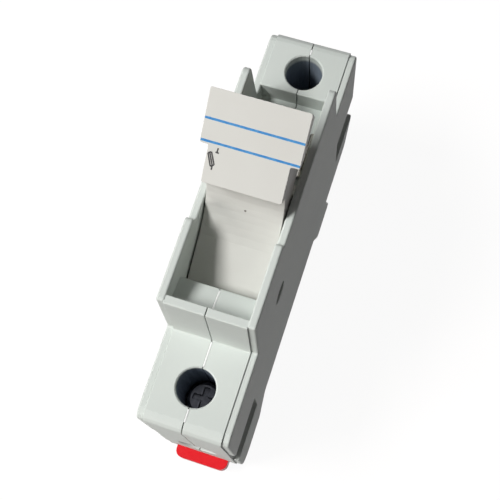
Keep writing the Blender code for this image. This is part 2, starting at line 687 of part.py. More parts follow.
# Terminals: a screw that turns in place and a cage that it lifts
def build_terminal(name, screw_y):
    holder = axis_empty(f"{name}_terminal_axis", (0.0, screw_y, 0.0))
    tip_z = TONGUE_Z + CONTACT_SHEET / 2 + GAP
    profile = [(0, HEAD_TOP_Z), (SCREW_HEAD_RADIUS - 2 * GAP, HEAD_TOP_Z),
               (SCREW_HEAD_RADIUS, HEAD_TOP_Z - GAP),
               (SCREW_HEAD_RADIUS, HEAD_UNDER_Z), (SCREW_RADIUS, HEAD_UNDER_Z),
               (SCREW_RADIUS, tip_z + 2 * GAP), (SCREW_RADIUS - 2 * GAP, tip_z), (0, tip_z)]
    screw = turned(f"{name}_terminal_screw", profile, STEEL, holder)
    cut(screw, *cross_recess(screw.name, HEAD_TOP_Z, SCREW_RECESS_LENGTH, SCREW_RECESS_WIDTH,
                             SCREW_RECESS_DEPTH, holder))
    half = CAGE_WIDTH / 2
    outer = rectangle((-half, CAGE_BOTTOM_Z), (half, CAGE_TOP_Z), CAGE_SIDE / 2)
    cage = prism(f"{name}_clamp_cage", outer, "Y", -CAGE_LENGTH / 2, CAGE_LENGTH / 2, STEEL, holder)
    room_half = half - CAGE_SIDE
    nut_under_z = CAGE_TOP_Z - CAGE_NUT_THICKNESS
    room = rectangle((-room_half, CAGE_BOTTOM_Z + CAGE_FLOOR), (room_half, nut_under_z), GAP)
    cut(cage, prism(f"{name}_cage_window", room, "Y", -CAGE_LENGTH, CAGE_LENGTH, parent=holder))
    cut(cage, rod(f"{name}_nut_thread", (0, 0, nut_under_z - GAP), (0, 0, CAGE_TOP_Z + GAP),
                  SCREW_RADIUS + GAP, parent=holder))


# Contacts and their springs
def build_upper_contact():
    """Strip from the terminal, with a jaw bent up on both sides of the fuse's upper cap."""
    half = CONTACT_WIDTH / 2
    outline = ribbon(upper_strip_route(), CONTACT_SHEET, CONTACT_BEND)
    strip = prism("upper_contact", outline, "X", -half, half, COPPER)
    side, low_y, high_y, spring_side = jaw_frame()
    base_z = STRIP_TOP_Z - GAP / 3 - JAW_SHEET / 2
    top_z = base_z + JAW_HEIGHT
    route = [(-side - JAW_FLARE, top_z + 2 * JAW_FLARE), (-side, top_z), (-side, base_z),
             (side, base_z), (side, top_z), (side + JAW_FLARE, top_z + 2 * JAW_FLARE)]
    fuse(strip, prism("upper_jaw", ribbon(route, JAW_SHEET, CONTACT_BEND), "Y", low_y, high_y))
    spring_z = STRIP_TOP_Z - CONTACT_SHEET - GAP - SPRING_SHEET / 2
    spring_top = top_z - 4 * JAW_FLARE
    route = [(-spring_side, spring_top), (-spring_side, spring_z), (spring_side, spring_z),
             (spring_side, spring_top)]
    prism("upper_jaw_spring", ribbon(route, SPRING_SHEET, CONTACT_BEND), "Y",
          low_y + 3 * GAP, high_y - 3 * GAP, SPRING_STEEL)


def build_lower_contact():
    """Strip from the terminal to a leaf under the fuse's lower cap, with a steel leaf behind it."""
    half = CONTACT_WIDTH / 2
    route = lower_strip_route()
    prism("lower_contact", ribbon(route, CONTACT_SHEET, CONTACT_BEND), "X", -half, half, COPPER)
    spring_z = STRIP_TOP_Z - CONTACT_SHEET - GAP - SPRING_SHEET / 2
    low_y = PIVOT_Y - BOSS_RADIUS
    high_y = route[0][0]
    prism("lower_contact_spring", ribbon([(low_y, spring_z), (high_y, spring_z)], SPRING_SHEET), "X",
          -half + GAP, half - GAP, SPRING_STEEL)


# Carrier, drawn closed about its pivot and carried by the tilted empty
def along_label(reach, rise):
    """A carrier point at a reach along the label and a rise square to it, from the pivot."""
    y = reach * cos(LABEL_TILT) - rise * sin(LABEL_TILT)
    z = reach * sin(LABEL_TILT) + rise * cos(LABEL_TILT)
    return (y, z)


def carrier_outline():
    """Side outline of the carrier's middle, under its label plate."""
    skin = LABEL_RISE - GRIP_THICKNESS / 3
    low_reach = LABEL_REACH - LABEL_LENGTH
    plate_under = FUSE_RISE + FUSE_RADIUS + PLATE_CLEARANCE
    grip = LABEL_REACH - GRIP_DEPTH
    corners = [
        (*along_label(LABEL_REACH - GAP, skin), 0.0),
        (*along_label(LABEL_REACH - GAP - GRIP_UNDERCUT, LABEL_RISE - GRIP_THICKNESS), EDGE_ROUND),
        (*along_label(grip, LABEL_RISE - GRIP_THICKNESS), 2 * WALL),
        (along_label(grip, 0.0)[0] - WALL, plate_under, WALL),
        (CRADLE_END, plate_under, WALL / 2),
        (CRADLE_END, -BOSS_RADIUS, WALL / 2),
    ]
    boss = arc((0.0, 0.0), BOSS_RADIUS, -pi / 2, -pi, 6)
    nose = arc((0.0, 0.0), NOSE_RADIUS, NOSE_END, NOSE_ANGLE, 5)
    scoop = arc((SCOOP_START, SCOOP_FLOOR + SCOOP_RADIUS), SCOOP_RADIUS, -pi / 2, SCOOP_END_ANGLE, 9)
    corners += [(y, z, 0.0) for y, z in boss + nose + scoop]
    corners.append((*along_label(low_reach + WALL, skin), 0.0))
    return rounded(corners)


def label_outline():
    """T-shaped outline of the label plate: half widths across, reach along the label."""
    wing = WING_WIDTH / 2
    body = CARRIER_WIDTH / 2
    low = LABEL_REACH - LABEL_LENGTH
    step = LABEL_REACH - WING_LENGTH
    return rounded([
        (-wing, LABEL_REACH, LABEL_CORNER), (-wing, step, LABEL_CORNER), (-body, step, LABEL_CORNER),
        (-body, low, LABEL_CORNER), (body, low, LABEL_CORNER), (body, step, LABEL_CORNER),
        (wing, step, LABEL_CORNER), (wing, LABEL_REACH, LABEL_CORNER)])


def build_carrier(holder):
    half = CARRIER_WIDTH / 2
    carrier = prism("carrier_lever", carrier_outline(), "X", -half, half, CARRIER_GREY, holder)
    depth = WING_EDGE + WING_LENGTH * sin(LABEL_TILT) + GAP
    tilt = Matrix.Rotation(LABEL_TILT, 4, "X")
    label = prism("label_plate", label_outline(), "Z", LABEL_RISE - depth, LABEL_RISE,
                  parent=holder, turn=tilt)
    for side in (-1, 1):
        near, far = sorted((side * (half + GAP / 2), side * WING_WIDTH))
        low = (near, 0.0, -GRIP_DEPTH)
        cut(label, box(f"wing_seat_{side}", low, (far, 2 * LABEL_REACH, WING_UNDER), parent=holder))
    undercut = [along_label(LABEL_REACH, LABEL_RISE), along_label(LABEL_REACH + WALL, LABEL_RISE),
                along_label(LABEL_REACH + WALL, LABEL_RISE - 2 * GRIP_THICKNESS),
                along_label(LABEL_REACH - 2 * GRIP_UNDERCUT, LABEL_RISE - 2 * GRIP_THICKNESS)]
    cut(label, prism("grip_undercut", undercut, "X", -WING_WIDTH, WING_WIDTH, parent=holder))
    fuse(carrier, label)
    axle = half + WALL - GAP
    radius = PIVOT_HOLE_RADIUS - TRUNNION_CLEARANCE
    fuse(carrier, rod("trunnions", (-axle, 0, 0), (axle, 0, 0), radius, parent=holder))
    inner = CRADLE_RADIUS + GAP / 3
    cap_room_end = FUSE_END + CAP_LENGTH + GAP
    cap_room_top = FUSE_RISE + FUSE_RADIUS + PLATE_CLEARANCE / 2
    cut(carrier, box("cap_room", (-inner, 0.0, -2 * BOSS_RADIUS), (inner, cap_room_end, cap_room_top),
                     parent=holder))
    cut(carrier, box("strip_room", (-inner, -2 * BOSS_RADIUS, -2 * BOSS_RADIUS), (inner, GAP, WALL / 3),
                     parent=holder))
    cut(carrier, rod("cradle_bore", (0, cap_room_end - GAP, FUSE_RISE), (0, CRADLE_END + WALL, FUSE_RISE),
                     CRADLE_RADIUS, parent=holder, sides=36))


def build_fuse(carrier_holder):
    """Ceramic tube, two pressed caps, and the melting strip in its sand."""
    holder = axis_empty("fuse_axis", (0.0, FUSE_END, FUSE_RISE), -pi / 2)
    holder.parent = carrier_holder
    end = CAP_SHEET + GAP
    seat = FUSE_RADIUS - CAP_SHEET - GAP / 2
    bore = FUSE_RADIUS - CAP_SHEET - GAP / 2 - TUBE_WALL
    body = FUSE_RADIUS - GAP / 3
    step = FUSE_LENGTH - CAP_LENGTH - GAP
    tube = [(bore, FUSE_LENGTH - end), (seat, FUSE_LENGTH - end), (seat, step), (body, step),
            (body, CAP_LENGTH + GAP), (seat, CAP_LENGTH + GAP), (seat, end), (bore, end)]
    turned("fuse_tube", tube, CERAMIC, holder, closed=True)
    rim = FUSE_RADIUS - CAP_SHEET
    cap = [(0, CAP_LENGTH), (FUSE_RADIUS - GAP, CAP_LENGTH), (FUSE_RADIUS, CAP_LENGTH - GAP),
           (FUSE_RADIUS, 0), (rim, 0), (rim, CAP_LENGTH - CAP_SHEET), (0, CAP_LENGTH - CAP_SHEET)]
    upper = turned("fuse_cap_upper", cap, NICKEL, holder)
    upper.location = (0.0, 0.0, FUSE_LENGTH - CAP_LENGTH)
    lower = turned("fuse_cap_lower", cap, NICKEL, holder)
    lower.location = (0.0, 0.0, CAP_LENGTH)
    lower.rotation_euler = (pi, 0.0, 0.0)
    grain = bore - GAP
    sand = [(0, FUSE_LENGTH - end), (grain, FUSE_LENGTH - end), (grain, end), (0, end)]
    filler = turned("fuse_filler", sand, SAND, holder, sides=24)
    half = ELEMENT_WIDTH / 2
    thin = ELEMENT_THICKNESS / 2
    cut(filler, box("element_way", (-half - GAP, -thin - GAP, 0), (half + GAP, thin + GAP, FUSE_LENGTH),
                    parent=holder))
    box("fuse_element", (-half, -thin, end), (half, thin, FUSE_LENGTH - end), SILVER, holder)


# Rail clip
def build_clip():
    tab_y = LOWER_END_Y - CLIP_TAB_REACH
    nose_y = -RECESS_HALF + HOOK_REACH
    holder = axis_empty("din_clip_axis", (0.0, POST_Y, (CLIP_TOP_Z + CLIP_UNDER_Z) / 2))
    outline = [(y - POST_Y, z - holder.location.z) for y, z in rounded([
        (tab_y, CLIP_UNDER_Z, EDGE_ROUND), (tab_y, CLIP_TOP_Z, EDGE_ROUND),
        (nose_y - HOOK_REACH, CLIP_TOP_Z, 0.0), (nose_y, CLIP_TOP_Z - GAP, 0.0),
        (nose_y, CLIP_TOP_Z - HOOK_REACH, EDGE_ROUND), (nose_y - CLIP_NOSE_LENGTH, CLIP_UNDER_Z, 0.0)])]
    half = CLIP_WIDTH / 2
    clip = prism("din_clip", outline, "X", -half, half, CLIP_RED, holder)
    plan = rounded([(-half, tab_y - POST_Y, CLIP_TAB_RADIUS), (half, tab_y - POST_Y, CLIP_TAB_RADIUS),
                    (half, nose_y - POST_Y + WALL, 0.0), (-half, nose_y - POST_Y + WALL, 0.0)])
    boolean(clip, prism("clip_plan", plan, "Z", -CLIP_THICKNESS, CLIP_THICKNESS, parent=holder), "INTERSECT")
    window_half = CLIP_WINDOW_WIDTH / 2
    cut(clip, box("clip_window", (-window_half, WINDOW_LOW_Y - POST_Y, -CLIP_THICKNESS),
                  (window_half, WINDOW_HIGH_Y - POST_Y, CLIP_THICKNESS), parent=holder))


def least_gap(points, wire_radius, skip):
    """Least gap between stretches of a wire that are at least skip points apart."""
    gaps = []
    for index, point in enumerate(points):
        gaps += [(point - other).length for other in points[index + skip:]]
    return min(gaps) - 2 * wire_radius


def build_clip_spring():
    """Coil spring between the housing's post and the far end of the clip's window."""
    points_per_turn = 10
    low_y = POST_Y + POST_LENGTH + GAP + CLIP_SPRING_WIRE
    run = CLIP_SPRING_LENGTH - 2 * CLIP_SPRING_WIRE
    middle_z = (CLIP_TOP_Z + CLIP_UNDER_Z) / 2
    points = []
    for index in range(CLIP_SPRING_TURNS * points_per_turn + 1):
        angle = 2 * pi * index / points_per_turn
        share = index / (CLIP_SPRING_TURNS * points_per_turn)
        points.append(Vector((CLIP_SPRING_RADIUS * cos(angle), low_y + run * share,
                              middle_z + CLIP_SPRING_RADIUS * sin(angle))))
    print("din_clip_spring least gap, mm:", round(least_gap(points, CLIP_SPRING_WIRE, 5) / MM, 2))
    curve = bpy.data.curves.new("din_clip_spring", "CURVE")
    curve.dimensions = "3D"
    curve.bevel_depth = CLIP_SPRING_WIRE
    curve.bevel_resolution = 1
    curve.use_fill_caps = True
    spline = curve.splines.new("POLY")
    spline.points.add(len(points) - 1)
    for vertex, point in zip(spline.points, points):
        vertex.co = (*point, 1.0)
    sketch = bpy.data.objects.new("din_clip_spring_wire", curve)
    CUTTERS.objects.link(sketch)
    coil = bpy.data.meshes.new_from_object(sketch.evaluated_get(bpy.context.evaluated_depsgraph_get()))
    bpy.data.objects.remove(sketch)
    shape = bmesh.new()
    shape.from_mesh(coil)
    bmesh.ops.remove_doubles(shape, verts=shape.verts, dist=0.000002)
    shape.to_mesh(coil)
    shape.free()
    face_out(coil)
    add("din_clip_spring", coil, SPRING_STEEL)


build_housing()
build_joint_screws()
build_terminal("upper", UPPER_SCREW_Y)
build_terminal("lower", LOWER_SCREW_Y)
build_upper_contact()
build_lower_contact()
CARRIER_AXIS = axis_empty("carrier_axis", (0.0, PIVOT_Y, PIVOT_Z), CARRIER_OPEN)
build_carrier(CARRIER_AXIS)
build_fuse(CARRIER_AXIS)
build_clip()
build_clip_spring()
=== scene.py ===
"""Looks of a DIN-rail fuse holder: finishes, printed marks, coil spring, floor, light and camera."""
from math import cos, pi, radians, sin

import bmesh
import bpy
from mathutils import Euler, Matrix, Vector


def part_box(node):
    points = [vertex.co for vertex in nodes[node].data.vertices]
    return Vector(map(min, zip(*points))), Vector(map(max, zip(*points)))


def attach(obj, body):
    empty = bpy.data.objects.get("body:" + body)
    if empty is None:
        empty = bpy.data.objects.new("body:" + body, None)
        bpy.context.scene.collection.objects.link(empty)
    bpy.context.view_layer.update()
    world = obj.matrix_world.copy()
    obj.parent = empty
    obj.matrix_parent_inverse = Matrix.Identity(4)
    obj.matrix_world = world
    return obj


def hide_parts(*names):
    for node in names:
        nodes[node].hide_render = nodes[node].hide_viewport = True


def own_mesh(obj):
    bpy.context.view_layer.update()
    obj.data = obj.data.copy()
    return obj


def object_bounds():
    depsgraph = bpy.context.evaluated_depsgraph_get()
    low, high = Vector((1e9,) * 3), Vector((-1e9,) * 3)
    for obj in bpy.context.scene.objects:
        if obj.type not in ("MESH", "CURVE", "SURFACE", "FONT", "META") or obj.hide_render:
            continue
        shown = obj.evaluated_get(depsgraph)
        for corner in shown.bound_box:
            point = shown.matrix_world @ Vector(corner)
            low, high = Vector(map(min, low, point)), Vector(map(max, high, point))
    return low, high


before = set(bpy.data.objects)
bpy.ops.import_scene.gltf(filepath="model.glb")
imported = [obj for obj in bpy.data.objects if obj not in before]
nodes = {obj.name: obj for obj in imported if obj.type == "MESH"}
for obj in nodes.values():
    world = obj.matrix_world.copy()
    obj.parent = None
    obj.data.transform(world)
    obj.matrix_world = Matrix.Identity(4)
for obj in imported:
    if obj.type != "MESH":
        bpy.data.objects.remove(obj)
cad_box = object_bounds()

MM = 0.001
FLOOR_Z = cad_box[0][2]
PLATFORM_Z = 38.8 * MM
LOWER_SCREW_Y = -26.4 * MM
UPPER_SCREW_Y = 40.0 * MM


# Colours are written as eight-bit values, as a paint chart gives them
def paint(red, green, blue):
    """A shader colour from eight-bit sRGB values."""
    def linear(value):
        value = value / 255
        return value / 12.92 if value <= 0.04045 else ((value + 0.055) / 1.055) ** 2.4
    return (linear(red), linear(green), linear(blue), 1.0)


# Materials
class Finish:
    """A node material: a Principled shader, fed by textures in the part's own coordinates."""

    def __init__(self, name, metallic=0.0, specular=0.5):
        self.material = bpy.data.materials.new(name)
        self.material.use_nodes = True
        self.tree = self.material.node_tree
        self.shader = self.tree.nodes["Principled BSDF"]
        self.shader.inputs["Metallic"].default_value = metallic
        self.shader.inputs["Specular IOR Level"].default_value = specular
        self.place = self.add("ShaderNodeTexCoord").outputs["Object"]

    def add(self, kind, **settings):
        node = self.tree.nodes.new(kind)
        for key, value in settings.items():
            setattr(node, key, value)
        return node

    def join(self, source, target):
        self.tree.links.new(source, target)

    def noise(self, scale, detail=2.0, roughness=0.5, stretch=(1.0, 1.0, 1.0)):
        """Noise from 0 to 1, at a scale per metre, that can be stretched along an axis."""
        mapping = self.add("ShaderNodeMapping")
        mapping.inputs["Scale"].default_value = stretch
        self.join(self.place, mapping.inputs["Vector"])
        node = self.add("ShaderNodeTexNoise")
        node.inputs["Scale"].default_value = scale
        node.inputs["Detail"].default_value = detail
        node.inputs["Roughness"].default_value = roughness
        self.join(mapping.outputs["Vector"], node.inputs["Vector"])
        return node.outputs["Fac"]

    def ramp(self, source, low, high, first, last):
        """source between low and high, mapped on to first to last."""
        node = self.add("ShaderNodeMapRange")
        node.inputs["From Min"].default_value = low
        node.inputs["From Max"].default_value = high
        node.inputs["To Min"].default_value = first
        node.inputs["To Max"].default_value = last
        self.join(source, node.inputs["Value"])
        return node.outputs["Result"]

    def mix(self, factor, first, second):
        """Two colours, or a colour source and a colour, mixed by a factor source."""
        node = self.add("ShaderNodeMix", data_type="RGBA")
        self.join(factor, node.inputs["Factor"])
        for value, socket in ((first, node.inputs[6]), (second, node.inputs[7])):
            if isinstance(value, tuple):
                socket.default_value = value
            else:
                self.join(value, socket)
        return node.outputs[2]

    def edges(self, radius):
        """A rounded normal, and a mask that is 1 on sharp edges and 0 on flats."""
        bevel = self.add("ShaderNodeBevel", samples=6)
        bevel.inputs["Radius"].default_value = radius
        geometry = self.add("ShaderNodeNewGeometry")
        dot = self.add("ShaderNodeVectorMath", operation="DOT_PRODUCT")
        self.join(bevel.outputs["Normal"], dot.inputs[0])
        self.join(geometry.outputs["Normal"], dot.inputs[1])
        return bevel.outputs["Normal"], self.ramp(dot.outputs["Value"], 0.97, 0.80, 0.0, 1.0)

    def inside(self, well):
        """A mask that is 1 inside an upright well of (centre, radius, top) and 0 outside it."""
        centre, radius, top = well
        away = self.add("ShaderNodeVectorMath", operation="SUBTRACT")
        self.join(self.place, away.inputs[0])
        away.inputs[1].default_value = centre
        flat = self.add("ShaderNodeVectorMath", operation="MULTIPLY")
        self.join(away.outputs["Vector"], flat.inputs[0])
        flat.inputs[1].default_value = (1.0, 1.0, 0.0)
        length = self.add("ShaderNodeVectorMath", operation="LENGTH")
        self.join(flat.outputs["Vector"], length.inputs[0])
        height = self.add("ShaderNodeSeparateXYZ")
        self.join(self.place, height.inputs["Vector"])
        both = self.add("ShaderNodeMath", operation="MULTIPLY")
        rim = self.ramp(length.outputs["Value"], radius, radius + WELL_RIM_FADE, 1.0, 0.0)
        mouth = self.ramp(height.outputs["Z"], top - WELL_MOUTH_FADE, top, 1.0, 0.0)
        self.join(rim, both.inputs[0])
        self.join(mouth, both.inputs[1])
        return both.outputs["Value"]

    def bump(self, height, depth, normal=None):
        node = self.add("ShaderNodeBump")
        node.inputs["Strength"].default_value = 1.0
        node.inputs["Distance"].default_value = depth
        self.join(height, node.inputs["Height"])
        if normal is not None:
            self.join(normal, node.inputs["Normal"])
        self.join(node.outputs["Normal"], self.shader.inputs["Normal"])

    def colour(self, source):
        self.join(source, self.shader.inputs["Base Color"])

    def roughness(self, source):
        self.join(source, self.shader.inputs["Roughness"])


def moulded(name, base, cloudy, worn_and_highlight, rough, wells=(), grain=0.000012, edge=0.00018):
    """Moulded plastic: faint clouds, an eroded grain, paler edges that are partly wear and partly a
    painted highlight, and painted shade inside the screw wells.
    """
    finish = Finish(name, specular=0.15)
    normal, edge_mask = finish.edges(edge)
    clouds = finish.ramp(finish.noise(70, 4.0), 0.3, 0.7, 0.0, 1.0)
    specks = finish.ramp(finish.noise(2600, 1.0), 0.66, 0.80, 0.0, 0.35)
    # Paler edges: partly rubbed wear, partly a painted highlight along every edge.
    wear_and_highlight = finish.add("ShaderNodeMath", operation="MULTIPLY")
    finish.join(edge_mask, wear_and_highlight.inputs[0])
    finish.join(finish.ramp(finish.noise(420, 2.0), 0.35, 0.65, 0.15, 0.8), wear_and_highlight.inputs[1])
    body = finish.mix(specks, finish.mix(clouds, base, cloudy), cloudy)
    body = finish.mix(wear_and_highlight.outputs["Value"], body, worn_and_highlight)
    # Painted shade: the screw wells are darkened blue-grey below their mouths, where little light
    # reaches.
    for well in wells:
        body = finish.mix(finish.inside(well), body, WELL_SHADE)
    finish.colour(body)
    finish.roughness(finish.ramp(finish.noise(900, 3.0), 0.3, 0.7, rough - 0.05, rough + 0.06))
    finish.bump(finish.noise(5200, 2.0, 0.6), grain, normal)
    return finish.material


def plated(name, base, stain, rough, streak=(1.0, 1.0, 1.0), depth=0.000006, edge=0.00012):
    """Plated or rolled metal: drawn streaks, duller stains and rubbed edges."""
    finish = Finish(name, metallic=1.0)
    normal, edge_mask = finish.edges(edge)
    stains = finish.ramp(finish.noise(260, 4.0), 0.38, 0.68, 0.0, 1.0)
    lines = finish.noise(2400, 3.0, 0.6, streak)
    body = finish.mix(stains, base, stain)
    finish.colour(finish.mix(finish.ramp(edge_mask, 0.0, 1.0, 0.0, 0.5), body, base))
    finish.roughness(finish.ramp(lines, 0.3, 0.7, rough - 0.08, rough + 0.12))
    finish.bump(lines, depth, normal)
    return finish.material


def printed(name, base, thin):
    """Pad-printed ink: slightly uneven cover over the grain of the plastic below."""
    finish = Finish(name)
    cover = finish.ramp(finish.noise(1500, 3.0), 0.42, 0.72, 0.0, 1.0)
    finish.colour(finish.mix(cover, base, thin))
    finish.roughness(finish.ramp(finish.noise(900, 2.0), 0.3, 0.7, 0.34, 0.46))
    finish.bump(finish.noise(5200, 2.0, 0.6), 0.000006)
    return finish.material


def earthen(name, base, shade, scale, rough, depth):
    """Fired ceramic or sand: mottled grains."""
    finish = Finish(name)
    grains = finish.ramp(finish.noise(scale, 4.0, 0.6), 0.35, 0.65, 0.0, 1.0)
    finish.colour(finish.mix(grains, base, shade))
    finish.roughness(finish.ramp(finish.noise(scale / 3, 2.0), 0.3, 0.7, rough - 0.06, rough + 0.06))
    finish.bump(finish.noise(scale, 3.0), depth)
    return finish.material


# Painted shade for the inside of the screw wells: the mask fades it out at each well's rim and mouth.
WELL_SHADE = paint(122, 132, 144)
WELL_RADIUS = 4.4 * MM
WELL_RIM_FADE = 0.3 * MM
WELL_MOUTH_FADE = 0.9 * MM
LOWER_WELL_TOP = 38.4 * MM
UPPER_WELL_TOP = 37.2 * MM
WELLS = (
    ((0.0, LOWER_SCREW_Y, 0.0), WELL_RADIUS, LOWER_WELL_TOP),
    ((0.0, UPPER_SCREW_Y, 0.0), WELL_RADIUS, UPPER_WELL_TOP),
)
HOUSING = moulded("housing_plastic", paint(211, 217, 212), paint(207, 213, 209), paint(224, 228, 225),
                  0.50, WELLS)
CARRIER = moulded("carrier_plastic", paint(211, 211, 206), paint(207, 206, 201), paint(224, 223, 219),
                  0.42)
RED = moulded("clip_plastic", paint(221, 28, 38), paint(213, 24, 33), paint(236, 62, 66), 0.34)
# Near-white plastic for the seam bead: a painted highlight along the seam.
SEAM_HIGHLIGHT_WHITE = moulded("seam_painted_highlight", paint(250, 251, 250), paint(244, 246, 245), paint(252, 252, 252), 0.50)
GATE_STUB = moulded("gate_stub", paint(132, 130, 124), paint(112, 110, 106), paint(150, 148, 142), 0.55)
BLUE_INK = printed("blue_ink", paint(40, 124, 188), paint(72, 146, 200))
BLACK_INK = printed("black_ink", paint(38, 36, 38), paint(64, 60, 60))
ZINC = plated("zinc_plate", paint(188, 190, 190), paint(158, 160, 162), 0.34)
BLACK_STEEL = plated("blackened_steel", paint(136, 138, 146), paint(100, 102, 110), 0.46)
TIN = plated("tinned_copper", paint(200, 198, 192), paint(176, 170, 160), 0.30, (1.0, 0.12, 0.12))
SPRING = plated("spring_steel", paint(150, 148, 146), paint(120, 116, 112), 0.28, (1.0, 0.2, 0.2))
NICKEL = plated("nickelled_brass", paint(206, 200, 186), paint(186, 176, 156), 0.24, (0.2, 1.0, 1.0))
SILVER = plated("silver_strip", paint(214, 212, 206), paint(190, 186, 176), 0.30, (0.2, 1.0, 1.0))
CERAMIC = earthen("glazed_ceramic", paint(226, 223, 214), paint(216, 212, 202), 900, 0.32, 0.000006)
SAND = earthen("quartz_sand", paint(206, 192, 164), paint(168, 150, 120), 2400, 0.85, 0.00005)

FINISHES = {
    HOUSING: ("housing_left", "housing_right"),
    CARRIER: ("carrier_lever",),
    RED: ("din_clip",),
    ZINC: ("housing_screw_lower", "housing_screw_upper", "housing_screw_rear",
           "upper_clamp_cage", "lower_clamp_cage"),
    BLACK_STEEL: ("upper_terminal_screw", "lower_terminal_screw"),
    TIN: ("upper_contact", "lower_contact"),
    SPRING: ("upper_jaw_spring", "lower_contact_spring", "din_clip_spring"),
    NICKEL: ("fuse_cap_upper", "fuse_cap_lower"),
    SILVER: ("fuse_element",),
    CERAMIC: ("fuse_tube",),
    SAND: ("fuse_filler",),
}
for finish_material, names in FINISHES.items():
    for name in names:
        for material_slot in nodes[name].material_slots:
            material_slot.material = finish_material


# Floor, light and camera
def white_to_the_eye(material_nodes, links):
    """A 0 to 1 value that is 1 for what the camera, a reflection or clear glass sees."""
    path = material_nodes.new("ShaderNodeLightPath")
    total = path.outputs["Is Camera Ray"]
    for ray in ("Is Glossy Ray", "Is Transmission Ray"):
        higher = material_nodes.new("ShaderNodeMath")
        higher.operation = "MAXIMUM"
        links.new(total, higher.inputs[0])
        links.new(path.outputs[ray], higher.inputs[1])
        total = higher.outputs["Value"]
    return total


FLOOR_HALF = 3.0


def build_floor():
    corners = ((-1, -1), (1, -1), (1, 1), (-1, 1))
    mesh = bpy.data.meshes.new("floor")
    mesh.from_pydata([(x * FLOOR_HALF, y * FLOOR_HALF, FLOOR_Z) for x, y in corners], [], [(0, 1, 2, 3)])
    floor = bpy.data.objects.new("floor", mesh)
    bpy.context.scene.collection.objects.link(floor)
    material = bpy.data.materials.new("floor_paper")
    material.use_nodes = True
    tree = material.node_tree
    tree.nodes.clear()
    paper = tree.nodes.new("ShaderNodeBsdfDiffuse")
    paper.inputs["Color"].default_value = (0.09, 0.083, 0.082, 1.0)
    glow = tree.nodes.new("ShaderNodeEmission")
    tree.links.new(white_to_the_eye(tree.nodes, tree.links), glow.inputs["Strength"])
    glow.inputs["Color"].default_value = (0.94, 0.94, 0.94, 1.0)
    both = tree.nodes.new("ShaderNodeAddShader")
    output = tree.nodes.new("ShaderNodeOutputMaterial")
    tree.links.new(paper.outputs["BSDF"], both.inputs[0])
    tree.links.new(glow.outputs["Emission"], both.inputs[1])
    tree.links.new(both.outputs["Shader"], output.inputs["Surface"])
    mesh.materials.append(material)


def build_world():
    world = bpy.data.worlds.new("studio")
    bpy.context.scene.world = world
    world.use_nodes = True
    tree = world.node_tree
    sky = tree.nodes["Background"]
    sky.inputs["Color"].default_value = (1.0, 0.95, 0.97, 1.0)
    sky.inputs["Strength"].default_value = 0.07
    paper = tree.nodes.new("ShaderNodeBackground")
    paper.inputs["Color"].default_value = (1.0, 1.0, 1.0, 1.0)
    paper.inputs["Strength"].default_value = 1.0
    choose = tree.nodes.new("ShaderNodeMixShader")
    tree.links.new(white_to_the_eye(tree.nodes, tree.links), choose.inputs["Fac"])
    tree.links.new(sky.outputs["Background"], choose.inputs[1])
    tree.links.new(paper.outputs["Background"], choose.inputs[2])
    tree.links.new(choose.outputs["Shader"], tree.nodes["World Output"].inputs["Surface"])


LAMP_DISTANCE = 1.2
LAMP_TARGET = (0.0, 0.0, 0.035)


def softbox(name, direction, distance, width, length, power, colour):
    """A strip lamp that runs along Y, seen from the part in the given direction."""
    lamp = bpy.data.lights.new(name, "AREA")
    lamp.shape = "RECTANGLE"
    lamp.size = width
    lamp.size_y = length
    lamp.energy = power
    lamp.color = colour
    holder = bpy.data.objects.new(name, lamp)
    towards = Vector(direction).normalized()
    holder.location = Vector(LAMP_TARGET) + towards * distance
    across = Vector((0.0, 1.0, 0.0)).cross(towards).normalized()
    turn = Matrix((across, towards.cross(across), towards)).transposed()
    holder.rotation_euler = turn.to_euler()
    bpy.context.scene.collection.objects.link(holder)


# Camera, as fitted to the view of the photograph
SENSOR_WIDTH = 36.0
LENS = 70.006
SHIFT = (-0.0033433, -0.0015373)
CAMERA_PLACE = (0.02731074, -0.04577343, 0.21567219)
CAMERA_TURN = (0.29182857, 0.05460109, 0.31745103)


def build_camera():
    camera = bpy.data.cameras.new("camera")
    camera.sensor_width = SENSOR_WIDTH
    camera.lens = LENS
    camera.shift_x, camera.shift_y = SHIFT
    camera.clip_start = 0.005
    holder = bpy.data.objects.new("camera", camera)
    holder.location = CAMERA_PLACE
    holder.rotation_euler = Euler(CAMERA_TURN)
    bpy.context.scene.collection.objects.link(holder)
    bpy.context.scene.camera = holder


build_floor()
build_world()
softbox("key_lamp", direction=(-0.52, -0.23, 0.82), distance=LAMP_DISTANCE, width=0.30, length=0.50,
        power=14.3, colour=(1.0, 1.0, 0.99))
softbox("front_fill", direction=(-0.52, -0.82, 0.24), distance=LAMP_DISTANCE, width=0.40, length=0.40,
        power=4.8, colour=(1.0, 0.95, 0.92))
build_camera()
bpy.context.scene.view_settings.view_transform = "Standard"


# Printed marks on the carrier's label
LABEL_TILT = radians(38.5)
ALONG = Vector((0.0, cos(LABEL_TILT), sin(LABEL_TILT)))
OUT = Vector((0.0, -sin(LABEL_TILT), cos(LABEL_TILT)))
INK_DEPTH = 0.02 * MM
label_points = [vertex.co for vertex in nodes["carrier_lever"].data.vertices]
LABEL_RISE = max(point.dot(OUT) for point in label_points)
LABEL_TOP = max(point.dot(ALONG) for point in label_points if point.dot(OUT) > LABEL_RISE - 0.1 * MM)


def on_label(across, down, lift=0.0):
    """A point on the label: across from its middle, and down from its top edge, in millimetres."""
    return Vector((across * MM, 0.0, 0.0)) + ALONG * (LABEL_TOP - down * MM) + OUT * (LABEL_RISE + lift)


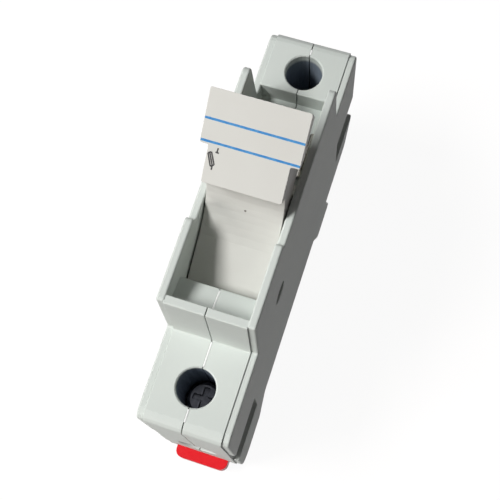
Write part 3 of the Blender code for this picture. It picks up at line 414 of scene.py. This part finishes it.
def print_mark(name, outlines, ink):
    """A thin layer of ink on the label, in one or more closed outlines of (across, down) points."""
    mesh = bpy.data.meshes.new(name)
    shape = bmesh.new()
    for outline in outlines:
        top = [shape.verts.new(on_label(x, s, INK_DEPTH)) for x, s in outline]
        low = [shape.verts.new(on_label(x, s, -INK_DEPTH)) for x, s in outline]
        shape.faces.new(top)
        shape.faces.new(low[::-1])
        for index in range(len(outline)):
            following = (index + 1) % len(outline)
            shape.faces.new((low[index], low[following], top[following], top[index]))
    bmesh.ops.recalc_face_normals(shape, faces=shape.faces)
    shape.to_mesh(mesh)
    shape.free()
    mesh.materials.append(ink)
    mark = bpy.data.objects.new(name, mesh)
    bpy.context.scene.collection.objects.link(mark)
    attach(mark, "carrier")
    return mark


STRIPE_HALF = 8.68
STRIPE_WIDTH = 0.42
for stripe_name, stripe_top in (("label_stripe_upper", 5.08), ("label_stripe_lower", 8.98)):
    stripe_low = stripe_top + STRIPE_WIDTH
    print_mark(stripe_name, [[(-STRIPE_HALF, stripe_top), (STRIPE_HALF, stripe_top),
                              (STRIPE_HALF, stripe_low), (-STRIPE_HALF, stripe_low)]], BLUE_INK)

LINE = 0.26


def stroke(first, last, width=LINE):
    """Outline of a straight printed line between two (across, down) points."""
    run = Vector(last) - Vector(first)
    side = Vector((-run.y, run.x)).normalized() * (width / 2)
    start = Vector(first)
    end = Vector(last)
    return [tuple(start + side), tuple(end + side), tuple(end - side), tuple(start - side)]


# A plain circuit sign for a fuse that switches: a slanted box with a line through it, and a contact
BOX = ((-6.96, 11.18), (-6.40, 10.84), (-5.52, 12.97), (-6.11, 13.38))
box_sides = [stroke(corner, BOX[(index + 1) % 4]) for index, corner in enumerate(BOX)]
box_head = tuple((a + b) / 2 for a, b in zip(BOX[0], BOX[1]))
box_foot = tuple((a + b) / 2 for a, b in zip(BOX[2], BOX[3]))
print_mark("label_sign", box_sides + [
    stroke(box_head, box_foot),
    stroke(box_foot, (-5.82, 13.95)),
    stroke((-5.38, 9.93), (-5.48, 10.75)),
    stroke((-5.73, 10.72), (-5.12, 10.77)),
], BLACK_INK)


def finish_piece(name, shape, material, body):
    """Turns a bmesh into a piece that rides on a body."""
    bmesh.ops.recalc_face_normals(shape, faces=shape.faces)
    mesh = bpy.data.meshes.new(name)
    shape.to_mesh(mesh)
    shape.free()
    mesh.materials.append(material)
    piece = bpy.data.objects.new(name, mesh)
    bpy.context.scene.collection.objects.link(piece)
    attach(piece, body)
    return piece


def sweep(shape, rings):
    """Joins rings of points into a tube with closed ends."""
    levels = [[shape.verts.new(point) for point in ring] for ring in rings]
    for lower, upper in zip(levels, levels[1:]):
        for index in range(len(lower)):
            shape.faces.new((lower[index - 1], lower[index], upper[index], upper[index - 1]))
    shape.faces.new(levels[0][::-1])
    shape.faces.new(levels[-1])


# Edge of the right half along the seam: moulded a hair proud, and coloured near-white as a painted
# highlight along the seam
BEAD_LOW_X = -0.085 * MM
BEAD_HIGH_X = 0.27 * MM
BEAD_PROUD = 0.05 * MM
BEAD_SUNK = 0.05 * MM
BEAD_SECTION = (
    (BEAD_LOW_X, -BEAD_SUNK),
    (BEAD_HIGH_X, -BEAD_SUNK),
    (BEAD_HIGH_X, 0.0),
    (0.6 * BEAD_HIGH_X, BEAD_PROUD),
    (0.5 * BEAD_LOW_X, BEAD_PROUD),
    (BEAD_LOW_X, 0.4 * BEAD_PROUD),
)


def seam_bead(name, route):
    """A low bead along the seam, on a route of (y, z) points with the surface on its right-hand side."""
    shape = bmesh.new()
    run = (Vector(route[-1]) - Vector(route[0])).normalized()
    out = Vector((0.0, -run.y, run.x))
    rings = []
    for y, z in route:
        base = Vector((0.0, y, z))
        rings.append([base + Vector((x, 0.0, 0.0)) + out * lift for x, lift in BEAD_SECTION])
    sweep(shape, rings)
    return finish_piece(name, shape, SEAM_HIGHLIGHT_WHITE, "housing")


HOLE_CLEAR = 4.1 * MM
seam_bead("seam_edge_inner", [(LOWER_SCREW_Y + HOLE_CLEAR, PLATFORM_Z), (-17.5 * MM, PLATFORM_Z)])
seam_bead("seam_edge_upper", [(UPPER_SCREW_Y + HOLE_CLEAR, PLATFORM_Z), (45.3 * MM, PLATFORM_Z)])
seam_bead("seam_edge_pocket", [(-14.5 * MM, 50.544 * MM), (-10.0 * MM, 49.287 * MM)])
seam_bead("seam_edge_outer", [(-33.0 * MM, PLATFORM_Z), (LOWER_SCREW_Y - HOLE_CLEAR, PLATFORM_Z)])

# Finger pocket: a nearly level shelf behind an upright lip, cut into copies of the two housing halves
POCKET_HALF_WIDTH = 7.49 * MM
POCKET_PROFILE = (
    (-14.7 * MM, 57.0 * MM),
    (-14.7 * MM, 50.6 * MM),
    (-8.5 * MM, 48.867 * MM),
    (-8.5 * MM, 57.0 * MM),
)


def pocket_cutter():
    """A prism across the pocket, on its (y, z) profile."""
    shape = bmesh.new()
    sides = (-POCKET_HALF_WIDTH, POCKET_HALF_WIDTH)
    sweep(shape, [[Vector((x, y, z)) for y, z in POCKET_PROFILE] for x in sides])
    bmesh.ops.recalc_face_normals(shape, faces=shape.faces)
    mesh = bpy.data.meshes.new("pocket_cutter")
    shape.to_mesh(mesh)
    shape.free()
    cutter = bpy.data.objects.new("pocket_cutter", mesh)
    bpy.context.scene.collection.objects.link(cutter)
    return cutter


def shelved_half(name, node_name, cutter):
    """A housing half with the shelf cut into it, in place of the plain one."""
    half = bpy.data.objects.new(name, nodes[node_name].data.copy())
    bpy.context.scene.collection.objects.link(half)
    cut = half.modifiers.new("pocket", "BOOLEAN")
    cut.operation = "DIFFERENCE"
    cut.solver = "EXACT"
    cut.object = cutter
    graph = bpy.context.evaluated_depsgraph_get()
    mesh = bpy.data.meshes.new_from_object(half.evaluated_get(graph), depsgraph=graph)
    half.modifiers.clear()
    half.data = mesh
    mesh.materials.clear()
    mesh.materials.append(HOUSING)
    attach(half, "housing")
    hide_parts(node_name)


def build_halves():
    cutter = pocket_cutter()
    shelved_half("housing_left_shell", "housing_left", cutter)
    shelved_half("housing_right_shell", "housing_right", cutter)
    bpy.data.objects.remove(cutter)


build_halves()

# Tongues inside the seam, sunk below the surface, so that no light shows through between the halves
TONGUE_HALF = 0.085 * MM
TONGUES = (
    ((-33.6, 13.4), (-31.3, 13.4), (-31.3, 38.1), (-32.4, 38.1), (-34.2, 36.3), (-34.2, 14.4)),
    ((-21.6, 15.2), (-14.6, 15.2), (-14.6, 31.2), (-21.6, 31.2)),
    ((-21.6, 35.8), (-14.6, 35.8), (-14.0, 40.2), (-12.4, 43.2), (-10.2, 45.3), (-10.3, 48.7),
     (-15.3, 50.1), (-15.3, 54.7), (-15.7, 54.7), (-16.6, 38.2), (-21.6, 38.2)),
    ((-34.2, -0.4), (-22.8, -0.4), (-22.8, 3.7), (-34.2, 3.7)),
    ((44.9, 13.4), (46.2, 13.4), (46.8, 14.4), (46.8, 36.3), (45.3, 38.1), (44.9, 38.1)),
    ((32.7, 15.2), (35.2, 15.2), (35.2, 30.0), (35.75, 31.0), (35.75, 38.2), (35.55, 38.2),
     (35.55, 33.5), (31.6, 33.5), (32.7, 31.6)),
    ((36.4, 1.1), (43.2, 1.1), (44.7, 3.8), (36.4, 3.8)),
    ((-21.6, 2.0), (-9.2, 2.0), (-9.2, 7.8), (-15.6, 7.8), (-15.6, 12.2), (-21.6, 12.2)),
    ((27.3, 2.0), (35.2, 2.0), (35.2, 12.2), (33.7, 12.2), (33.7, 7.8), (27.3, 7.8)),
    ((21.6, -6.5), (29.9, -6.5), (28.2, -0.9), (18.4, -0.9), (18.4, -3.6)),
)


def build_tongues():
    """Thin plates in the seam, on outlines of (y, z) points in millimetres."""
    shape = bmesh.new()
    sides = (-TONGUE_HALF, TONGUE_HALF)
    for outline in TONGUES:
        sweep(shape, [[Vector((x, y * MM, z * MM)) for y, z in outline] for x in sides])
    finish_piece("seam_tongues", shape, HOUSING, "housing")


build_tongues()

# Coil of the rail clip's spring, from the housing's post to the far end of the clip's window
spring_low, spring_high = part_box("din_clip_spring")
SPRING_WIRE = 0.25 * MM
SPRING_TURNS = 6
SPRING_STEPS = 28
SPRING_SIDES = 10
spring_x = (spring_low[0] + spring_high[0]) / 2
spring_z = (spring_low[2] + spring_high[2]) / 2
spring_radius = (spring_high[0] - spring_low[0]) / 2 - SPRING_WIRE
spring_start = spring_low[1] + SPRING_WIRE
spring_run = spring_high[1] - spring_low[1] - 2 * SPRING_WIRE


def build_spring():
    shape = bmesh.new()
    rings = []
    count = SPRING_TURNS * SPRING_STEPS
    for index in range(count + 1):
        angle = 2 * pi * index / SPRING_STEPS
        arm = Vector((cos(angle), 0.0, sin(angle)))
        along = spring_start + spring_run * index / count
        centre = Vector((spring_x, along, spring_z)) + arm * spring_radius
        ring = []
        for side in range(SPRING_SIDES):
            turn = 2 * pi * side / SPRING_SIDES
            ring.append(centre + (arm * cos(turn) + Vector((0.0, sin(turn), 0.0))) * SPRING_WIRE)
        rings.append(ring)
    sweep(shape, rings)
    for face in shape.faces:
        face.smooth = len(face.verts) == 4
    spring = finish_piece("clip_spring_coil", shape, SPRING, "housing")
    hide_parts("din_clip_spring")
    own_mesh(spring)


build_spring()

# Mark of the moulding gate on the carrier's finger scoop
GATE = Vector((0.27 * MM, 4.28 * MM, 52.89 * MM))
GATE_RADIUS = 0.22 * MM
GATE_SIDES = 14
GATE_SECTION = ((1.0, -0.06), (1.0, 0.02), (0.72, 0.05), (0.45, 0.02))


def build_gate_mark():
    """A small broken-off stub, set into the curve of the scoop."""
    lever = nodes["carrier_lever"]
    _, place, normal, _ = lever.closest_point_on_mesh(GATE)
    side = normal.orthogonal().normalized()
    other = normal.cross(side)
    shape = bmesh.new()
    rings = []
    turns = [2 * pi * step / GATE_SIDES for step in range(GATE_SIDES)]
    for radius, lift in GATE_SECTION:
        level = place + normal * (lift * MM)
        rings.append([level + (side * cos(a) + other * sin(a)) * (radius * GATE_RADIUS) for a in turns])
    sweep(shape, rings)
    finish_piece("scoop_gate_mark", shape, GATE_STUB, "carrier")


build_gate_mark()
